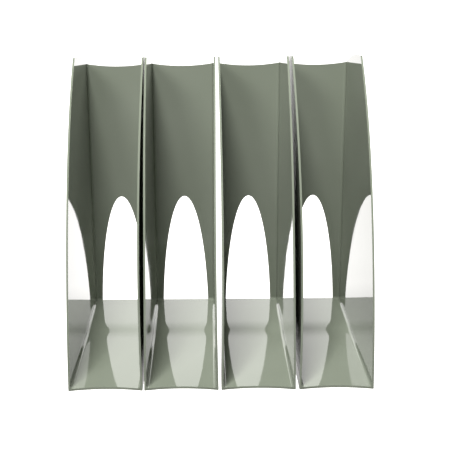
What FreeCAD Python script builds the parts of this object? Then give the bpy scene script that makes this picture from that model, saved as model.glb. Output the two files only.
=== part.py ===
"""Row of four thin-walled magazine files with bowed sides and an arched opening in each spine.

Each file is one moulding on four small feet. A file's own frame has X across its width, Y from
the open front back to the spine, and Z up from the surface that it stands on.
"""
import FreeCAD, Part
import math
import os
import Sketcher
from FreeCAD import Vector

SIZES = [
    ("file_width", 75.0, "outside width of one file at its corners"),
    ("file_depth", 252.0, "front corners to the outside of the spine"),
    ("file_height", 318.0, "surface to the sides' top front corner"),
    ("spine_height", 300.0, "surface to the top corners of the spine"),
    ("wall", 2.0, "side walls and spine"),
    ("floor_wall", 2.4, "floor"),
    ("top_setback", 145.5, "how far the sides' top corner stands behind the front"),
    ("front_straight", 16.0, "height at which the front edge begins to sweep back"),
    ("top_crown", 4.0, "rise of the sides' top edge over its chord"),
    ("side_bow", 1.6, "how far a side's front edge bows inward halfway up"),
    ("spine_dip", 3.0, "dip of the spine's top edge"),
    ("front_dip", 4.3, "set-back of the floor's front edge at its middle"),
    ("arch_width", 55.2, "opening in the spine, at the rear floor"),
    ("arch_height", 133.5, "opening in the spine, above the rear floor"),
    ("arch_drop", 25.0, "how far the arch's centre lies below the rear floor"),
    ("cove", 3.0, "inside radius where sides, floor and spine meet"),
    ("shelf_rise", 3.0, "how far the rear of the floor stands above its front"),
    ("shelf_length", 78.0, "level rear part of the floor, from outside the spine"),
    ("ramp_length", 40.0, "slope between the two levels of the floor"),
    ("hollow_margin", 20.0, "solid strip beside the hollow under the rear floor"),
    ("foot_diameter", 9.0, "foot"),
    ("foot_stand", 1.0, "how far a foot stands out below the floor"),
    ("foot_seat", 0.6, "depth of the foot's seat in the floor"),
    ("foot_fit", 0.2, "clearance around the foot in its seat"),
    ("foot_round", 0.7, "rounding of the foot's lower edge"),
    ("foot_inset_side", 11.0, "foot's centre from the side"),
    ("foot_inset_front", 16.0, "foot's centre from the front corners"),
    ("foot_inset_back", 14.0, "foot's centre from the outside of the spine"),
    ("gap_1_2", 1.4, "between the corners of files 1 and 2"),
    ("gap_2_3", 2.6, "between files 2 and 3"),
    ("gap_3_4", 3.2, "between files 3 and 4"),
]
OVERRUN = 10.0      # how far a cutting outline runs past what it cuts
NEAR = 0.05         # how closely an edge is recognised by its place

doc = FreeCAD.newDocument("magazine_files")
sheet = doc.addObject("Spreadsheet::Sheet", "Sizes")
for row, (alias, value, meaning) in enumerate(SIZES, start=1):
    sheet.set(f"A{row}", alias)
    sheet.set(f"B{row}", str(value))
    sheet.set(f"C{row}", meaning)
    sheet.setAlias(f"B{row}", alias)
doc.recompute()
SIZE = {alias: float(sheet.get(alias)) for alias, _, _ in SIZES}

HALF = "([file_width] / 2)"
INNER_HALF = "([file_width] / 2 - [wall])"
FLOOR_TOP = "([foot_stand] + [floor_wall])"
SHELF_TOP = "([foot_stand] + [floor_wall] + [shelf_rise])"
half = SIZE["file_width"] / 2
inner_half = half - SIZE["wall"]
floor_top = SIZE["foot_stand"] + SIZE["floor_wall"]
shelf_top = floor_top + SIZE["shelf_rise"]


# ---- sketches --------------------------------------------------------------------------

def cells(text):
    """An expression in which every [size] reads its cell."""
    return text.replace("[", "<<Sizes>>.").replace("]", "")


def make_sketch(body, role, name, offset=None):
    """A sketch on one of the body's own origin planes, moved along the plane's normal."""
    plane = next(item for item in body.Origin.OriginFeatures if item.Role == role)
    sketch = body.newObject("Sketcher::SketchObject", name)
    sketch.AttachmentSupport = [(plane, "")]
    sketch.MapMode = "FlatFace"
    if offset:
        sketch.setExpression("AttachmentOffset.Base.z", cells(offset))
    return sketch


def bind(sketch, constraint, name, expression):
    """Adds a dimension to a sketch and binds it to the sheet."""
    index = sketch.addConstraint(constraint)
    sketch.renameConstraint(index, name)
    sketch.setExpression(f"Constraints.{name}", cells(expression))


def same_point(point, other):
    return (point - other).Length < 1e-6


def outline(sketch, corners, curves=None):
    """A closed outline through corners given as (x, y, x expression, y expression).

    curves maps a side's number to (rise, radius expression): that side is an arc whose
    middle stands rise to the left of its chord, seen along the outline.
    """
    curves = curves or {}
    points = [Vector(x, y, 0) for x, y, _, _ in corners]
    count = len(points)
    for number, start in enumerate(points):
        end = points[(number + 1) % count]
        if number in curves:
            chord = end - start
            left = Vector(-chord.y, chord.x, 0).normalize()
            crown = (start + end) * 0.5 + left * curves[number][0]
            sketch.addGeometry(Part.Arc(start, crown, end), False)
        else:
            sketch.addGeometry(Part.LineSegment(start, end), False)
    first = [1 if same_point(sketch.getPoint(n, 1), points[n]) else 2 for n in range(count)]
    for number in range(count):
        after = (number + 1) % count
        last = 3 - first[number]
        sketch.addConstraint(
            Sketcher.Constraint("Coincident", number, last, after, first[after]))
    for number, (x, y, x_text, y_text) in enumerate(corners):
        across = Sketcher.Constraint("DistanceX", -1, 1, number, first[number], x)
        upward = Sketcher.Constraint("DistanceY", -1, 1, number, first[number], y)
        bind(sketch, across, f"x{number}", x_text)
        bind(sketch, upward, f"y{number}", y_text)
    for number, (_, radius_text) in curves.items():
        radius = sketch.Geometry[number].Radius
        bind(sketch, Sketcher.Constraint("Radius", number, radius), f"r{number}", radius_text)


def arc_radius(chord_text, rise_text):
    """The radius of an arc from its chord and rise, as an expression."""
    return f"(({chord_text})^2 / 4 + ({rise_text})^2) / (2 * ({rise_text}))"


def cross_section(body, name, offset, inset, bowed):
    """An upright section across a file, inset by so many walls; its sides may be bowed."""
    wide = half - inset * SIZE["wall"]
    wide_text = f"([file_width] / 2 - {inset} * [wall])"
    low, top = SIZE["foot_stand"], SIZE["file_height"]
    corners = [
        (-wide, low, f"-{wide_text}", "[foot_stand]"),
        (wide, low, wide_text, "[foot_stand]"),
        (wide, top, wide_text, "[file_height]"),
        (-wide, top, f"-{wide_text}", "[file_height]"),
    ]
    radius = arc_radius("[file_height] - [foot_stand]", "[side_bow]")
    bow = (SIZE["side_bow"], radius)
    sketch = make_sketch(body, "XZ_Plane", name, offset)
    outline(sketch, corners, {1: bow, 3: bow} if bowed else None)
    return sketch


def side_trim_sketch(body):
    """The air in front of and above a side: a long sweep in front, a crowned edge on top."""
    depth, height = SIZE["file_depth"], SIZE["file_height"]
    setback, spine, straight = SIZE["top_setback"], SIZE["spine_height"], SIZE["front_straight"]
    back_text, top_text = f"[file_depth] + {OVERRUN}", f"[file_height] + {OVERRUN}"
    corners = [
        (0, straight, "0", "[front_straight]"),
        (setback, height, "[top_setback]", "[file_height]"),
        (depth, spine, "[file_depth]", "[spine_height]"),
        (depth + OVERRUN, spine, back_text, "[spine_height]"),
        (depth + OVERRUN, height + OVERRUN, back_text, top_text),
        (-OVERRUN, height + OVERRUN, f"-{OVERRUN}", top_text),
        (-OVERRUN, straight, f"-{OVERRUN}", "[front_straight]"),
    ]
    rise = height - straight
    sweep_radius = (rise ** 2 + setback ** 2) / (2 * setback)
    sweep_rise = sweep_radius - math.sqrt(sweep_radius ** 2 - (rise ** 2 + setback ** 2) / 4)
    rise_text = "([file_height] - [front_straight])"
    sweep_text = f"({rise_text}^2 + [top_setback]^2) / (2 * [top_setback])"
    crown_text = arc_radius(
        "sqrt(([file_depth] - [top_setback])^2 + ([file_height] - [spine_height])^2)",
        "[top_crown]")
    sketch = make_sketch(body, "YZ_Plane", "side_trim_outline")
    outline(sketch, corners, {0: (sweep_rise, sweep_text), 1: (SIZE["top_crown"], crown_text)})
    return sketch


def spine_dip_sketch(body):
    """The shallow dip between the spine's top corners, and the air above it."""
    low = SIZE["spine_height"]
    high = low + OVERRUN
    high_text = f"[spine_height] + {OVERRUN}"
    corners = [
        (-inner_half, low, f"-{INNER_HALF}", "[spine_height]"),
        (inner_half, low, INNER_HALF, "[spine_height]"),
        (inner_half, high, INNER_HALF, high_text),
        (-inner_half, high, f"-{INNER_HALF}", high_text),
    ]
    radius = arc_radius(f"2 * {INNER_HALF}", "[spine_dip]")
    sketch = make_sketch(body, "XZ_Plane", "spine_dip_outline", "-[file_depth]")
    outline(sketch, corners, {0: (-SIZE["spine_dip"], radius)})
    return sketch


def floor_sketch(body):
    """The floor from above: let into the sides and the spine, hollowed at the front."""
    wide = half - SIZE["wall"] / 2
    back = SIZE["file_depth"] - SIZE["wall"] / 2
    wide_text = "([file_width] / 2 - [wall] / 2)"
    back_text = "[file_depth] - [wall] / 2"
    corners = [
        (-wide, 0, f"-{wide_text}", "0"),
        (wide, 0, wide_text, "0"),
        (wide, back, wide_text, back_text),
        (-wide, back, f"-{wide_text}", back_text),
    ]
    radius = arc_radius(f"2 * {wide_text}", "[front_dip]")
    sketch = make_sketch(body, "XY_Plane", "floor_outline", "[foot_stand]")
    outline(sketch, corners, {0: (SIZE["front_dip"], radius)})
    return sketch


def shelf_sketch(body, name, top, top_text, bottom, bottom_text):
    """Side view of the raised rear of the floor: an S-shaped ramp up to a level shelf."""
    back = SIZE["file_depth"] - SIZE["wall"] / 2
    start = SIZE["file_depth"] - SIZE["shelf_length"]
    ramp, rise = SIZE["ramp_length"], SIZE["shelf_rise"]
    start_text = "[file_depth] - [shelf_length]"
    back_text = "[file_depth] - [wall] / 2"
    corners = [
        (start - ramp, top - rise, f"{start_text} - [ramp_length]", f"{top_text} - [shelf_rise]"),
        (start - ramp / 2, top - rise / 2, f"{start_text} - [ramp_length] / 2",
         f"{top_text} - [shelf_rise] / 2"),
        (start, top, start_text, top_text),
        (back, top, back_text, top_text),
        (back, bottom, back_text, bottom_text),
        (start - ramp, bottom, f"{start_text} - [ramp_length]", bottom_text),
    ]
    radius_text = "([ramp_length]^2 + [shelf_rise]^2) / (4 * [shelf_rise])"
    radius = (ramp ** 2 + rise ** 2) / (4 * rise)
    sagitta = radius - math.sqrt(radius ** 2 - (ramp ** 2 + rise ** 2) / 16)
    sketch = make_sketch(body, "YZ_Plane", name)
    outline(sketch, corners, {0: (-sagitta, radius_text), 1: (sagitta, radius_text)})
    return sketch


def arch_sketch(body):
    """The top of a tall ellipse, cut off at the rear floor, between two legs of the spine."""
    drop = SIZE["arch_drop"]
    tall = SIZE["arch_height"] + drop
    wide = SIZE["arch_width"] / 2 / math.sqrt(1 - (drop / tall) ** 2)
    end = math.acos(drop / tall)
    sketch = make_sketch(body, "XZ_Plane", "arch_outline", "-[file_depth]")
    centre = Vector(0, shelf_top - drop, 0)
    ellipse = Part.Ellipse(centre + Vector(0, tall, 0), centre + Vector(wide, 0, 0), centre)
    curve = sketch.addGeometry(Part.ArcOfEllipse(ellipse, -end, end), False)
    sketch.exposeInternalGeometry(curve)
    tall_axis = curve + 1
    ends = [sketch.getPoint(curve, end) for end in (1, 2)]
    sill = sketch.addGeometry(Part.LineSegment(*ends), False)
    sketch.addConstraint(Sketcher.Constraint("Coincident", curve, 1, sill, 1))
    sketch.addConstraint(Sketcher.Constraint("Coincident", curve, 2, sill, 2))
    sketch.addConstraint(Sketcher.Constraint("Vertical", tall_axis))
    sketch.addConstraint(Sketcher.Constraint("PointOnObject", curve, 3, -2))
    sketch.addConstraint(Sketcher.Constraint("Horizontal", sill))
    level = Sketcher.Constraint("DistanceY", -1, 1, sill, 1, shelf_top)
    bind(sketch, level, "sill", SHELF_TOP)
    below = Sketcher.Constraint("DistanceY", -1, 1, curve, 3, shelf_top - drop)
    bind(sketch, below, "centre", f"{SHELF_TOP} - [arch_drop]")
    bind(sketch, Sketcher.Constraint("Distance", tall_axis, 2 * tall), "tall",
         "2 * ([arch_height] + [arch_drop])")
    bind(sketch, Sketcher.Constraint("Distance", sill, SIZE["arch_width"]), "wide", "[arch_width]")
    return sketch


FOOT_PLACES = {
    "front_left": (f"-({HALF} - [foot_inset_side])", "[foot_inset_front]"),
    "front_right": (f"({HALF} - [foot_inset_side])", "[foot_inset_front]"),
    "back_left": (f"-({HALF} - [foot_inset_side])", "([file_depth] - [foot_inset_back])"),
    "back_right": (f"({HALF} - [foot_inset_side])", "([file_depth] - [foot_inset_back])"),
}


def foot_seats_sketch(body):
    """Four round seats, one for each foot, seen from above."""
    side = half - SIZE["foot_inset_side"]
    front, back = SIZE["foot_inset_front"], SIZE["file_depth"] - SIZE["foot_inset_back"]
    radius = SIZE["foot_diameter"] / 2 + SIZE["foot_fit"]
    sketch = make_sketch(body, "XY_Plane", "foot_seats_outline")
    for place, (x_text, y_text) in FOOT_PLACES.items():
        x = -side if "left" in place else side
        y = front if "front" in place else back
        circle = Part.Circle(Vector(x, y, 0), Vector(0, 0, 1), radius)
        seat = sketch.addGeometry(circle, False)
        bind(sketch, Sketcher.Constraint("DistanceX", -1, 1, seat, 3, x), f"x{seat}", x_text)
        bind(sketch, Sketcher.Constraint("DistanceY", -1, 1, seat, 3, y), f"y{seat}", y_text)
        bind(sketch, Sketcher.Constraint("Radius", seat, radius), f"r{seat}",
             "[foot_diameter] / 2 + [foot_fit]")
    return sketch


# ---- features --------------------------------------------------------------------------

def add_loft(body, kind, name, back, front):
    """A ruled solid, or cut, between a section at the spine and one at the front."""
    loft = body.newObject(f"PartDesign::{kind}Loft", name)
    loft.Profile = back
    loft.Sections = [front]
    loft.Ruled = True
    body.Tip = loft
    doc.recompute()


def add_prism(body, kind, name, sketch, length_text, reverse=False, midplane=False):
    """A pad, or a pocket, of a bound length; it has to change the solid."""
    before = body.Shape.Volume
    feature = body.newObject(f"PartDesign::{kind}", name)
    feature.Profile = sketch
    feature.Reversed = reverse
    feature.Midplane = midplane
    feature.setExpression("Length", cells(length_text))
    body.Tip = feature
    doc.recompute()
    change = body.Shape.Volume - before
    if change * (1 if kind == "Pad" else -1) <= 0:
        raise RuntimeError(f"{body.Label}: {name} changes the volume by {change}")


def inside_edges(shape):
    """The edges inside a file where its sides, its floor and its spine meet."""
    spine = SIZE["file_depth"] - SIZE["wall"]
    names = []
    for number, edge in enumerate(shape.Edges, start=1):
        box = edge.BoundBox
        reach = max(abs(box.XMin), abs(box.XMax))
        low_enough = floor_top - NEAR < box.ZMin and box.ZMax < shelf_top + NEAR
        beside_floor = abs(reach - inner_half) < 0.15 and low_enough and box.YLength > 5
        up_spine = abs(box.YMin - spine) < NEAR and abs(box.YMax - spine) < NEAR
        upright = up_spine and abs(reach - inner_half) < NEAR and box.ZLength > 100
        spine_foot = up_spine and low_enough and box.XLength > inner_half
        if beside_floor or upright or spine_foot:
            names.append(f"Edge{number}")
    return names


def add_cove(body):
    """Rounds the inside corners of a file."""
    sharp = body.Tip
    fillet = body.newObject("PartDesign::Fillet", "coves")
    fillet.Base = (sharp, inside_edges(sharp.Shape))
    fillet.setExpression("Radius", cells("[cove]"))
    body.Tip = fillet
    doc.recompute()


def make_shell(number):
    """One file: floor, spine and two bowed sides in a single moulding."""
    label = f"file_{number}_shell"
    body = doc.addObject("PartDesign::Body", label)
    body.Label = label
    outer_back = cross_section(body, "outside_back", "-[file_depth]", 0, bowed=False)
    outer_front = cross_section(body, "outside_front", None, 0, bowed=True)
    add_loft(body, "Additive", "outside", outer_back, outer_front)
    inner_back = cross_section(body, "inside_back", "[wall] - [file_depth]", 1, bowed=False)
    inner_front = cross_section(body, "inside_front", None, 1, bowed=True)
    add_loft(body, "Subtractive", "inside", inner_back, inner_front)
    add_prism(body, "Pad", "floor", floor_sketch(body), "[floor_wall]")
    shelf = shelf_sketch(body, "shelf_outline", shelf_top, SHELF_TOP,
                         floor_top - SIZE["floor_wall"] / 2, f"{FLOOR_TOP} - [floor_wall] / 2")
    add_prism(body, "Pad", "shelf", shelf, "[file_width] - [wall]", midplane=True)
    add_prism(body, "Pocket", "side_trim", side_trim_sketch(body), "2 * [file_width]",
              midplane=True)
    add_cove(body)
    add_prism(body, "Pocket", "spine_dip", spine_dip_sketch(body), "2 * [wall] + [cove]",
              reverse=True)
    add_prism(body, "Pocket", "arch", arch_sketch(body), "2 * [wall] + [cove]", reverse=True)
    hollow_top = f"({SHELF_TOP} - [floor_wall])"
    hollow = shelf_sketch(body, "hollow_outline", shelf_top - SIZE["floor_wall"], hollow_top,
                          0, "0")
    add_prism(body, "Pocket", "hollow", hollow, "[file_width] - 2 * [hollow_margin]",
              midplane=True)
    add_prism(body, "Pocket", "foot_seats", foot_seats_sketch(body),
              "[foot_stand] + [foot_seat]", reverse=True)
    return body


def make_foot(number, place):
    """A round foot, let into its seat under a file."""
    label = f"file_{number}_foot_{place}"
    body = doc.addObject("PartDesign::Body", label)
    body.Label = label
    radius, rounding = SIZE["foot_diameter"] / 2, SIZE["foot_round"]
    top = SIZE["foot_stand"] + SIZE["foot_seat"]
    radius_text, top_text = "([foot_diameter] / 2)", "([foot_stand] + [foot_seat])"
    corners = [
        (0, 0, "0", "0"),
        (radius - rounding, 0, f"{radius_text} - [foot_round]", "0"),
        (radius, rounding, radius_text, "[foot_round]"),
        (radius, top, radius_text, top_text),
        (0, top, "0", top_text),
    ]
    sagitta = rounding * (1 - math.sqrt(0.5))
    sketch = make_sketch(body, "XZ_Plane", "half_section")
    outline(sketch, corners, {1: (-sagitta, "[foot_round]")})
    turned = body.newObject("PartDesign::Revolution", "turned")
    turned.Profile = sketch
    turned.ReferenceAxis = (sketch, ["V_Axis"])
    turned.Angle = 360
    body.Tip = turned
    return body


# ---- places ----------------------------------------------------------------------------

ROW_WIDTH = "(4 * [file_width] + [gap_1_2] + [gap_2_3] + [gap_3_4])"
FILE_X = {
    1: f"{HALF} - {ROW_WIDTH} / 2",
    2: f"3 * {HALF} + [gap_1_2] - {ROW_WIDTH} / 2",
    3: f"5 * {HALF} + [gap_1_2] + [gap_2_3] - {ROW_WIDTH} / 2",
    4: f"7 * {HALF} + [gap_1_2] + [gap_2_3] + [gap_3_4] - {ROW_WIDTH} / 2",
}


def place_in_file(body, number, x_text="0", y_text="0"):
    """Puts a piece at a point of a file's own frame; the row's origin is under its centre."""
    body.setExpression("Placement.Base.x", cells(f"{FILE_X[number]} + {x_text}"))
    body.setExpression("Placement.Base.y", cells(f"{y_text} - [file_depth] / 2"))


def check(body):
    """Stops the build if a sub-part has no single valid solid."""
    shape = body.Shape
    if shape.isNull() or not shape.isValid() or len(shape.Solids) != 1:
        raise RuntimeError(f"{body.Label} isn't one valid solid")


pieces = []
for number in FILE_X:
    shell = make_shell(number)
    place_in_file(shell, number)
    pieces.append(shell)
    for place, (x_text, y_text) in FOOT_PLACES.items():
        foot = make_foot(number, place)
        place_in_file(foot, number, x_text, y_text)
        pieces.append(foot)
doc.recompute()

for item in doc.Objects:
    if "Invalid" in item.State or "Error" in item.State:
        raise RuntimeError(f"{item.Label} could not be built: {item.State}")
for piece in pieces:
    check(piece)

os.makedirs("parts", exist_ok=True)
for piece in pieces:
    piece.Shape.exportStep(f"parts/{piece.Label}.step")
    box = piece.Shape.optimalBoundingBox()
    print(f"{piece.Label}: {piece.Shape.Volume:.1f} mm3, x {box.XMin:.2f} to {box.XMax:.2f}, "
          f"y {box.YMin:.2f} to {box.YMax:.2f}, z {box.ZMin:.2f} to {box.ZMax:.2f}")
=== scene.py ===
"""Row of four glossy grey magazine files on rubber feet."""

import bmesh
import bpy
import math
from mathutils import Euler, Matrix, Vector


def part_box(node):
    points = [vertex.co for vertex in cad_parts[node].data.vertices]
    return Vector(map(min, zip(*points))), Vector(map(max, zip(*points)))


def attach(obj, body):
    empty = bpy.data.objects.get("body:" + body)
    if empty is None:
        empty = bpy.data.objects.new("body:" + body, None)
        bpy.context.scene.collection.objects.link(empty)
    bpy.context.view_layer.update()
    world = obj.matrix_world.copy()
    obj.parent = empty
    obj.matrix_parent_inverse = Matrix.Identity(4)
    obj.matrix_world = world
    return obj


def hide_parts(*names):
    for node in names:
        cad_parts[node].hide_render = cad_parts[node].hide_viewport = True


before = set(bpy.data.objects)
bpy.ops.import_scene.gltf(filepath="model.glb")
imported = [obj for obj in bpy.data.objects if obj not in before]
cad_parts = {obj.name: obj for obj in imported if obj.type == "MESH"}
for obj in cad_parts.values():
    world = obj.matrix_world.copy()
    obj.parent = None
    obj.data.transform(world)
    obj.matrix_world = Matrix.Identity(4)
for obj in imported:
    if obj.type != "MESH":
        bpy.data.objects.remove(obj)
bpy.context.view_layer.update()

MM = 0.001
FILES = (1, 2, 3, 4)
FOOT_PLACES = ("front_left", "front_right", "back_left", "back_right")

# One file in its own frame: X across, Y from the front edges back, Z up from the surface.
first_low, first_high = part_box("file_1_shell")
HALF_WIDTH = (first_high[0] - first_low[0]) / 2
DEPTH = first_high[1] - first_low[1]
TOP = first_high[2]
UNDERSIDE = first_low[2]
WALL = 2 * MM
FLOOR_WALL = 2.4 * MM
FLOOR_TOP = UNDERSIDE + FLOOR_WALL
SPINE_TOP = 300 * MM
TOP_SETBACK = 145.5 * MM
FRONT_STRAIGHT = 16 * MM
TOP_CROWN = 4 * MM
SIDE_BOW = 1.6 * MM
SPINE_DIP = 3 * MM
FRONT_DIP = 4.3 * MM
ARCH_HALF_WIDTH = 27.6 * MM
ARCH_HEIGHT = 133.5 * MM
ARCH_DROP = 25 * MM
COVE = 3 * MM
OUTER_ROUND = 0.9 * MM
SHELF_RISE = 3 * MM
RAMP_START = 134 * MM
RAMP_LENGTH = 40 * MM
HOLLOW_HALF_WIDTH = 17.5 * MM
FOOT_FIT = 0.2 * MM
FOOT_ROUND = 0.7 * MM
EDGE_ROUND = 0.35 * MM
SMOOTH_ANGLE = math.radians(35)

# How finely the sheets are divided: rows up a side, columns along it, and lines across.
CORNER_STEPS = 5
ROWS = 32
COLUMNS = 41
ACROSS = 11
HOLLOW_STEPS = 28
ARCH_SIDES = 128
ROUND_SIDES = 48

# What tells edges and corners apart: equal places, edges that stay in one side's plane, and
# edges that span a whole sheet.
NEAR = 0.01 * MM
SIDE_DRIFT = 4 * MM
LONG_RUN = 50 * MM

# The studio: how bright the room and the lit floor are, and each lamp's azimuth and
# elevation in degrees, distance and size in metres, power in watts, and whether the gloss
# mirrors it.
ROOM_FRONT = 0.03
ROOM_REAR = 2.4
FLOOR_GLOW_FRONT = 0.15
FLOOR_GLOW_REAR = 2.0
LAMP_AIM_HEIGHT = 0.15
LAMPS = (
    ("key_box", -25, 31, 2.2, 0.5, 22, True),
    ("top_box", -16, 66, 2.2, 0.5, 80, False),
)

# The camera: place in metres, angles in degrees, lens and sensor in millimetres.
CAMERA_PLACE = (-0.0129, -1.0172, 0.4252)
CAMERA_DOWN = 15.76
CAMERA_LEFT = 0.18
CAMERA_TILT = -0.52
CAMERA_LENS = 77.44
CAMERA_SENSOR = 36
CAMERA_SHIFT = 0.047


# ---- selecting and shaping -------------------------------------------------------------

def only(piece):
    """Leaves edit mode and makes this the only selected object."""
    if bpy.context.object and bpy.context.object.mode != "OBJECT":
        bpy.ops.object.mode_set(mode="OBJECT")
    bpy.ops.object.select_all(action="DESELECT")
    piece.select_set(True)
    bpy.context.view_layer.objects.active = piece


def nothing():
    """Deselects everything, so that an operator acts on the new piece alone."""
    if bpy.context.object and bpy.context.object.mode != "OBJECT":
        bpy.ops.object.mode_set(mode="OBJECT")
    bpy.ops.object.select_all(action="DESELECT")


def pick(kind, wanted):
    """In edit mode, selects the vertices, edges or faces for which wanted is true."""
    mesh = bpy.context.object.data
    bpy.ops.mesh.select_mode(type={"verts": "VERT", "edges": "EDGE", "faces": "FACE"}[kind])
    bpy.ops.mesh.select_all(action="DESELECT")
    work = bmesh.from_edit_mesh(mesh)
    for element in getattr(work, kind):
        if wanted(element):
            element.select_set(True)
    work.select_flush_mode()
    bmesh.update_edit_mesh(mesh)


def middle(edge):
    return (edge.verts[0].co + edge.verts[1].co) / 2


def runs(edge, axis):
    """True if an edge runs mainly along an axis: 0 across, 1 front to back, 2 upward."""
    run = edge.verts[1].co - edge.verts[0].co
    return abs(run[axis]) > 0.8 * run.length


def apply_modifier(piece, kind, **settings):
    only(piece)
    modifier = piece.modifiers.new(kind.lower(), kind)
    for name, value in settings.items():
        setattr(modifier, name, value)
    bpy.ops.object.modifier_apply(modifier=modifier.name)


def cut(piece, cutter):
    """Takes a cutter's shape out of a piece, and throws the cutter away."""
    apply_modifier(piece, "BOOLEAN", operation="DIFFERENCE", solver="EXACT", object=cutter)
    bpy.data.objects.remove(cutter)


# ---- one file --------------------------------------------------------------------------

def sweep(height):
    """How far a side's front edge stands back at a height."""
    rise = TOP - FRONT_STRAIGHT
    radius = (rise ** 2 + TOP_SETBACK ** 2) / (2 * TOP_SETBACK)
    above = max(0.0, height - FRONT_STRAIGHT)
    return radius - math.sqrt(radius ** 2 - above ** 2)


def bow(height):
    """How far a side bows inward at a height, at the front corners."""
    along = (height - UNDERSIDE) / (TOP - UNDERSIDE)
    return SIDE_BOW * 4 * along * (1 - along)


def ramp(depth):
    """How far the floor stands above its front at a depth: two arcs that make an S."""
    radius = (RAMP_LENGTH ** 2 + SHELF_RISE ** 2) / (4 * SHELF_RISE)
    along = min(max(depth - RAMP_START, 0.0), RAMP_LENGTH)
    if along <= RAMP_LENGTH / 2:
        return radius - math.sqrt(radius ** 2 - along ** 2)
    return SHELF_RISE - radius + math.sqrt(radius ** 2 - (RAMP_LENGTH - along) ** 2)


def make_tub(name, side, low, back, with_ramp):
    """Sides, spine and floor as one open sheet, with neither top nor front."""
    nothing()
    bpy.ops.mesh.primitive_cube_add(
        size=1, location=(0, back / 2, (low + TOP) / 2), scale=(2 * side, back, TOP - low))
    tub = bpy.context.object
    tub.name = name
    bpy.ops.object.transform_apply(location=True, rotation=True, scale=True)
    bpy.ops.object.mode_set(mode="EDIT")
    pick("faces", lambda face: face.normal.z > 0.9 or face.normal.y < -0.9)
    bpy.ops.mesh.delete(type="FACE")
    pick("verts", lambda vert: vert.co.y > back - NEAR and vert.co.z > TOP - NEAR)
    bpy.ops.transform.translate(value=(0, 0, SPINE_TOP - TOP))

    pick("edges", lambda edge: runs(edge, 2))
    bpy.ops.mesh.subdivide(number_cuts=ROWS)
    for row in range(ROWS + 2):
        height = low + (TOP - low) * row / (ROWS + 1)
        pick("verts", lambda vert: vert.co.y < NEAR and abs(vert.co.z - height) < NEAR)
        back_here = sweep(height)
        pinch = bow(height) * (1 - back_here / DEPTH)
        bpy.ops.transform.resize(
            value=((side - pinch) / side, 1, 1), center_override=(0, 0, 0))
        bpy.ops.transform.translate(value=(0, back_here, 0))
    pick("edges", lambda edge: abs(edge.verts[0].co.x - edge.verts[1].co.x) < SIDE_DRIFT
         and abs(edge.verts[0].co.y - edge.verts[1].co.y) > LONG_RUN)
    bpy.ops.mesh.subdivide(number_cuts=COLUMNS)
    pick("edges", lambda edge: runs(edge, 0)
         and (edge.verts[1].co - edge.verts[0].co).length > LONG_RUN)
    bpy.ops.mesh.subdivide(number_cuts=ACROSS)

    for column in range(1, COLUMNS + 1):
        along = column / (COLUMNS + 1)
        depth = TOP_SETBACK + (back - TOP_SETBACK) * along
        pick("verts", lambda vert: vert.is_boundary and vert.co.z > SPINE_TOP
             and abs(vert.co.y - depth) < 0.5 * MM)
        bpy.ops.transform.translate(value=(0, 0, TOP_CROWN * 4 * along * (1 - along)))
    for step in range(1, ACROSS + 1):
        across = side * (2 * step / (ACROSS + 1) - 1)
        inside = 1 - min(1, abs(across) / (HALF_WIDTH - WALL)) ** 2
        pick("verts", lambda vert: vert.is_boundary and vert.co.y > back - NEAR
             and abs(vert.co.x - across) < NEAR)
        bpy.ops.transform.translate(value=(0, 0, -SPINE_DIP * inside))
        pick("verts", lambda vert: vert.is_boundary and vert.co.y < NEAR
             and vert.co.z < low + NEAR and abs(vert.co.x - across) < 0.1 * MM)
        bpy.ops.transform.translate(value=(0, FRONT_DIP * (1 - (across / side) ** 2), 0))
    if with_ramp:
        for column in range(COLUMNS + 2):
            depth = back * column / (COLUMNS + 1)
            lift = ramp(depth)
            if lift > 0:
                pick("verts", lambda vert: vert.co.z < low + NEAR
                     and abs(vert.co.y - depth) < NEAR)
                bpy.ops.transform.translate(value=(0, 0, lift))
    return tub


def is_corner(edge):
    """True where two of a tub's sheets meet at an angle."""
    return len(edge.link_faces) == 2 and edge.calc_face_angle() > math.radians(60)


def make_file():
    """One moulding: an outer and an inner tub joined along their rims, then cut out."""
    outer = make_tub("outer_tub", HALF_WIDTH, UNDERSIDE, DEPTH, with_ramp=False)
    pick("edges", is_corner)
    bpy.ops.mesh.bevel(offset=OUTER_ROUND, segments=CORNER_STEPS, affect="EDGES")
    inner = make_tub("inner_tub", HALF_WIDTH - WALL, FLOOR_TOP, DEPTH - WALL, with_ramp=True)
    pick("edges", is_corner)
    bpy.ops.mesh.bevel(offset=COVE, segments=CORNER_STEPS, affect="EDGES")
    bpy.ops.mesh.select_all(action="SELECT")
    bpy.ops.mesh.flip_normals()
    only(outer)
    inner.select_set(True)
    bpy.ops.object.join()
    moulding = bpy.context.object
    moulding.name = "moulding"
    bpy.ops.object.mode_set(mode="EDIT")
    pick("edges", lambda edge: edge.is_boundary)
    bpy.ops.mesh.bridge_edge_loops()
    bpy.ops.mesh.select_all(action="SELECT")
    bpy.ops.mesh.normals_make_consistent(inside=False)
    pick("faces", lambda face: abs(face.normal.y) > 0.9999
         and face.calc_center_median().y > DEPTH - WALL - NEAR)
    bpy.ops.mesh.dissolve_limited(angle_limit=math.radians(0.5))
    pick("faces", lambda face: face.normal.z < -0.9999
         and face.calc_center_median().z < UNDERSIDE + NEAR)
    bpy.ops.mesh.dissolve_limited(angle_limit=math.radians(0.5))
    only(moulding)
    cut(moulding, make_arch_cutter())
    cut(moulding, make_hollow_cutter())
    cut(moulding, make_seat_cutter())
    apply_modifier(moulding, "BEVEL", width=EDGE_ROUND, segments=2, limit_method="ANGLE",
                   angle_limit=math.radians(50), miter_outer="MITER_ARC")
    bpy.ops.object.shade_smooth_by_angle(angle=SMOOTH_ANGLE)
    apply_modifier(moulding, "WEIGHTED_NORMAL", keep_sharp=True, weight=60)
    return moulding


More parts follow.
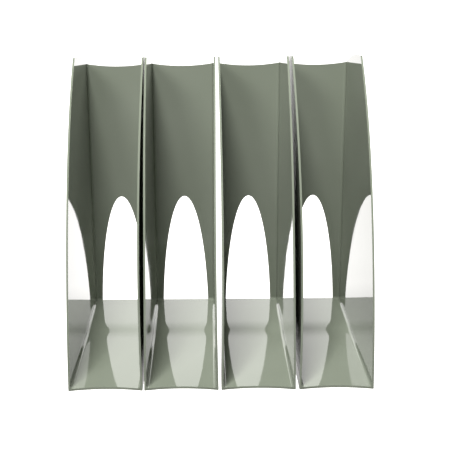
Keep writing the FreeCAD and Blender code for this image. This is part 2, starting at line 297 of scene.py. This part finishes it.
def make_arch_cutter():
    """The top of an elliptic rod, cut off where it stands on the rear floor."""
    nothing()
    tall = ARCH_HEIGHT + ARCH_DROP
    wide = ARCH_HALF_WIDTH / math.sqrt(1 - (ARCH_DROP / tall) ** 2)
    bpy.ops.mesh.primitive_cylinder_add(
        vertices=ARCH_SIDES, radius=1, depth=15 * MM, rotation=(math.pi / 2, 0, 0))
    cutter = bpy.context.object
    bpy.ops.object.transform_apply(location=False, rotation=True, scale=False)
    bpy.ops.object.mode_set(mode="EDIT")
    bpy.ops.mesh.select_all(action="SELECT")
    bpy.ops.mesh.bisect(plane_co=(0, 0, ARCH_DROP / tall), plane_no=(0, 0, 1), use_fill=True,
                        clear_inner=True)
    bpy.ops.mesh.select_all(action="SELECT")
    bpy.ops.transform.resize(value=(wide, 1, tall), center_override=(0, 0, 0))
    bpy.ops.transform.translate(
        value=(0, DEPTH + 2 * MM, FLOOR_TOP + SHELF_RISE - ARCH_DROP + 2 * NEAR))
    only(cutter)
    return cutter


def make_hollow_cutter():
    """The hollow under the raised rear of the floor."""
    nothing()
    length = DEPTH - WALL / 2 - RAMP_START
    height = SHELF_RISE + UNDERSIDE
    bpy.ops.mesh.primitive_cube_add(
        size=1, location=(0, RAMP_START + length / 2, height / 2),
        scale=(2 * HOLLOW_HALF_WIDTH, length, height))
    cutter = bpy.context.object
    bpy.ops.object.transform_apply(location=True, rotation=True, scale=True)
    bpy.ops.object.mode_set(mode="EDIT")
    pick("edges", lambda edge: runs(edge, 1))
    bpy.ops.mesh.subdivide(number_cuts=HOLLOW_STEPS - 1)
    for step in range(HOLLOW_STEPS):
        depth = RAMP_START + length * step / HOLLOW_STEPS
        pick("verts", lambda vert: vert.co.z > height - NEAR and abs(vert.co.y - depth) < NEAR)
        bpy.ops.transform.translate(value=(0, 0, ramp(depth) - SHELF_RISE))
    only(cutter)
    return cutter


def make_seat_cutter():
    """Four short rods that leave the feet's seats in the underside."""
    nothing()
    rods = []
    for place in FOOT_PLACES:
        low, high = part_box(f"file_1_foot_{place}")
        x = (low[0] + high[0]) / 2 - (first_low[0] + first_high[0]) / 2
        y = (low[1] + high[1]) / 2 - first_low[1]
        bpy.ops.mesh.primitive_cylinder_add(
            vertices=ROUND_SIDES, radius=(high[0] - low[0]) / 2 + FOOT_FIT,
            depth=2 * high[2], location=(x, y, 0))
        rods.append(bpy.context.object)
    for rod in rods:
        rod.select_set(True)
    bpy.ops.object.join()
    cutter = bpy.context.object
    bpy.ops.object.transform_apply(location=True, rotation=True, scale=True)
    return cutter


def make_foot():
    """A rubber button with a rounded tread and a shallow dish under it."""
    nothing()
    low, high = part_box("file_1_foot_front_left")
    radius, height = (high[0] - low[0]) / 2, high[2]
    bpy.ops.mesh.primitive_cylinder_add(
        vertices=ROUND_SIDES, radius=radius, depth=height, location=(0, 0, height / 2))
    foot = bpy.context.object
    bpy.ops.object.transform_apply(location=True, rotation=True, scale=True)
    bpy.ops.object.mode_set(mode="EDIT")
    pick("edges", lambda edge: middle(edge).z < NEAR)
    bpy.ops.mesh.bevel(offset=FOOT_ROUND, segments=4, affect="EDGES")
    pick("faces", lambda face: face.normal.z < -0.99)
    bpy.ops.mesh.inset(thickness=1.1 * MM)
    bpy.ops.mesh.inset(thickness=0.25 * MM, depth=-0.2 * MM)
    only(foot)
    bpy.ops.object.shade_smooth_by_angle(angle=SMOOTH_ANGLE)
    return foot


# ---- finishes --------------------------------------------------------------------------

def new_finish(name):
    finish = bpy.data.materials.new(name)
    finish.use_nodes = True
    nodes = finish.node_tree.nodes
    return finish, nodes, finish.node_tree.links, nodes["Principled BSDF"]


def make_moulding_finish():
    """High-gloss grey plastic with a green cast, faint flow marks and handling haze."""
    finish, nodes, links, shader = new_finish("gloss_grey_moulding")
    shader.inputs["IOR"].default_value = 1.5
    place = nodes.new("ShaderNodeTexCoord")
    cloud = nodes.new("ShaderNodeTexNoise")
    cloud.inputs["Scale"].default_value = 9
    cloud.inputs["Detail"].default_value = 3
    links.new(place.outputs["Object"], cloud.inputs["Vector"])
    tint = nodes.new("ShaderNodeValToRGB")
    tint.color_ramp.elements[0].position = 0.3
    tint.color_ramp.elements[0].color = (0.185, 0.207, 0.160, 1)
    tint.color_ramp.elements[1].position = 0.7
    tint.color_ramp.elements[1].color = (0.205, 0.227, 0.180, 1)
    links.new(cloud.outputs["Fac"], tint.inputs["Fac"])
    links.new(tint.outputs["Color"], shader.inputs["Base Color"])
    haze = nodes.new("ShaderNodeTexNoise")
    haze.inputs["Scale"].default_value = 26
    haze.inputs["Detail"].default_value = 6
    links.new(place.outputs["Object"], haze.inputs["Vector"])
    gloss = nodes.new("ShaderNodeMapRange")
    gloss.inputs["From Min"].default_value = 0.35
    gloss.inputs["From Max"].default_value = 0.75
    gloss.inputs["To Min"].default_value = 0.02
    gloss.inputs["To Max"].default_value = 0.06
    links.new(haze.outputs["Fac"], gloss.inputs["Value"])
    links.new(gloss.outputs["Result"], shader.inputs["Roughness"])
    ripple = nodes.new("ShaderNodeTexNoise")
    ripple.inputs["Scale"].default_value = 22
    ripple.inputs["Detail"].default_value = 1
    links.new(place.outputs["Object"], ripple.inputs["Vector"])
    surface = nodes.new("ShaderNodeBump")
    surface.inputs["Strength"].default_value = 0.25
    surface.inputs["Distance"].default_value = 0.0002
    links.new(ripple.outputs["Fac"], surface.inputs["Height"])
    links.new(surface.outputs["Normal"], shader.inputs["Normal"])
    return finish


def make_rubber_finish():
    """Dark rubber with a fine grain and dusty, worn treads."""
    finish, nodes, links, shader = new_finish("foot_rubber")
    place = nodes.new("ShaderNodeTexCoord")
    grain = nodes.new("ShaderNodeTexNoise")
    grain.inputs["Scale"].default_value = 2500
    grain.inputs["Detail"].default_value = 4
    links.new(place.outputs["Object"], grain.inputs["Vector"])
    dust = nodes.new("ShaderNodeTexNoise")
    dust.inputs["Scale"].default_value = 400
    links.new(place.outputs["Object"], dust.inputs["Vector"])
    shade = nodes.new("ShaderNodeValToRGB")
    shade.color_ramp.elements[0].position = 0.4
    shade.color_ramp.elements[0].color = (0.02, 0.02, 0.02, 1)
    shade.color_ramp.elements[1].position = 0.8
    shade.color_ramp.elements[1].color = (0.08, 0.078, 0.074, 1)
    links.new(dust.outputs["Fac"], shade.inputs["Fac"])
    links.new(shade.outputs["Color"], shader.inputs["Base Color"])
    wear = nodes.new("ShaderNodeMapRange")
    wear.inputs["To Min"].default_value = 0.55
    wear.inputs["To Max"].default_value = 0.85
    links.new(dust.outputs["Fac"], wear.inputs["Value"])
    links.new(wear.outputs["Result"], shader.inputs["Roughness"])
    surface = nodes.new("ShaderNodeBump")
    surface.inputs["Strength"].default_value = 0.4
    surface.inputs["Distance"].default_value = 0.0001
    links.new(grain.outputs["Fac"], surface.inputs["Height"])
    links.new(surface.outputs["Normal"], shader.inputs["Normal"])
    return finish


# ---- the row ---------------------------------------------------------------------------

def put_copy(pattern, name, shift, body, node):
    """A copy with its own mesh, moved to its place in the row, riding on its file."""
    piece = pattern.copy()
    piece.data = pattern.data.copy()
    piece.name = piece.data.name = name
    bpy.context.collection.objects.link(piece)
    piece.location = shift
    only(piece)
    bpy.ops.object.transform_apply(location=True, rotation=True, scale=True)
    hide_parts(node)
    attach(piece, body)


def make_row():
    moulding = make_file()
    moulding.data.materials.append(make_moulding_finish())
    foot = make_foot()
    foot.data.materials.append(make_rubber_finish())
    for number in FILES:
        body = f"file_{number}"
        low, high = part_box(f"{body}_shell")
        shift = Vector(((low[0] + high[0]) / 2, low[1], 0))
        put_copy(moulding, f"{body}_moulding", shift, body, f"{body}_shell")
        for place in FOOT_PLACES:
            low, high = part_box(f"{body}_foot_{place}")
            shift = Vector(((low[0] + high[0]) / 2, (low[1] + high[1]) / 2, 0))
            put_copy(foot, f"{body}_button_{place}", shift, body, f"{body}_foot_{place}")
    bpy.data.objects.remove(moulding)
    bpy.data.objects.remove(foot)


def link_glow(nodes, links, along_row, span, levels, strength):
    """Makes a glow rise over a span of places; the camera sees only its brightest level."""
    parts = nodes.new("ShaderNodeSeparateXYZ")
    links.new(along_row, parts.inputs["Vector"])
    rear = nodes.new("ShaderNodeMapRange")
    rear.inputs["From Min"].default_value, rear.inputs["From Max"].default_value = span
    rear.inputs["To Min"].default_value, rear.inputs["To Max"].default_value = levels
    links.new(parts.outputs["Y"], rear.inputs["Value"])
    ray = nodes.new("ShaderNodeLightPath")
    seen = nodes.new("ShaderNodeMix")
    seen.inputs["B"].default_value = levels[1]
    links.new(ray.outputs["Is Camera Ray"], seen.inputs["Factor"])
    links.new(rear.outputs["Result"], seen.inputs["A"])
    links.new(seen.outputs["Result"], strength)
    return rear


def make_room():
    """A room that shows white, lights the row from behind and is dim elsewhere."""
    room = bpy.context.scene.world or bpy.data.worlds.new("white_room")
    bpy.context.scene.world = room
    room.use_nodes = True
    nodes, links = room.node_tree.nodes, room.node_tree.links
    glow = nodes["Background"]
    glow.inputs["Color"].default_value = (1.0, 0.99, 0.975, 1)
    place = nodes.new("ShaderNodeTexCoord")
    rise = link_glow(nodes, links, place.outputs["Generated"], (0.6, 0.85),
                     (ROOM_FRONT, ROOM_REAR), glow.inputs["Strength"])
    rise.interpolation_type = "SMOOTHSTEP"


def make_floor():
    """A floor that shows white, glows most behind the row and hardly scatters lamp light."""
    nothing()
    bpy.ops.mesh.primitive_plane_add(size=40)
    floor = bpy.context.object
    floor.name = "studio_floor"
    paper, nodes, links, shader = new_finish("lit_white_floor")
    shader.inputs["Base Color"].default_value = (0.05, 0.05, 0.05, 1)
    shader.inputs["Roughness"].default_value = 0.9
    shader.inputs["Specular IOR Level"].default_value = 0.0
    shader.inputs["Emission Color"].default_value = (1.0, 0.985, 0.97, 1)
    place = nodes.new("ShaderNodeTexCoord")
    link_glow(nodes, links, place.outputs["Object"], (-0.2, 0.2),
              (FLOOR_GLOW_FRONT, FLOOR_GLOW_REAR), shader.inputs["Emission Strength"])
    floor.data.materials.append(paper)


def add_lamp(name, azimuth, elevation, distance, size, power, mirrored):
    """A soft box turned to the row; azimuth is from the front, negative to the left."""
    nothing()
    around, above = math.radians(azimuth), math.radians(elevation)
    away = Vector((math.sin(around) * math.cos(above), -math.cos(around) * math.cos(above),
                   math.sin(above)))
    bpy.ops.object.light_add(
        type="AREA", location=away * distance + Vector((0, 0, LAMP_AIM_HEIGHT)))
    lamp = bpy.context.object
    lamp.name = name
    lamp.rotation_euler = (-away).to_track_quat("-Z", "Y").to_euler()
    lamp.data.size = size
    lamp.data.energy = power
    lamp.visible_glossy = mirrored


def make_studio():
    make_room()
    make_floor()
    for lamp in LAMPS:
        add_lamp(*lamp)
    bpy.context.scene.view_settings.view_transform = "Standard"


def make_camera():
    nothing()
    bpy.ops.object.camera_add(location=CAMERA_PLACE)
    camera = bpy.context.object
    turn = Euler((math.radians(90 - CAMERA_DOWN), 0, math.radians(CAMERA_LEFT))).to_matrix()
    tilt = Matrix.Rotation(math.radians(CAMERA_TILT), 3, "Z")
    camera.rotation_euler = (turn @ tilt).to_euler()
    camera.data.sensor_width = CAMERA_SENSOR
    camera.data.lens = CAMERA_LENS
    camera.data.shift_x = CAMERA_SHIFT
    bpy.context.scene.camera = camera


make_row()
make_studio()
make_camera()
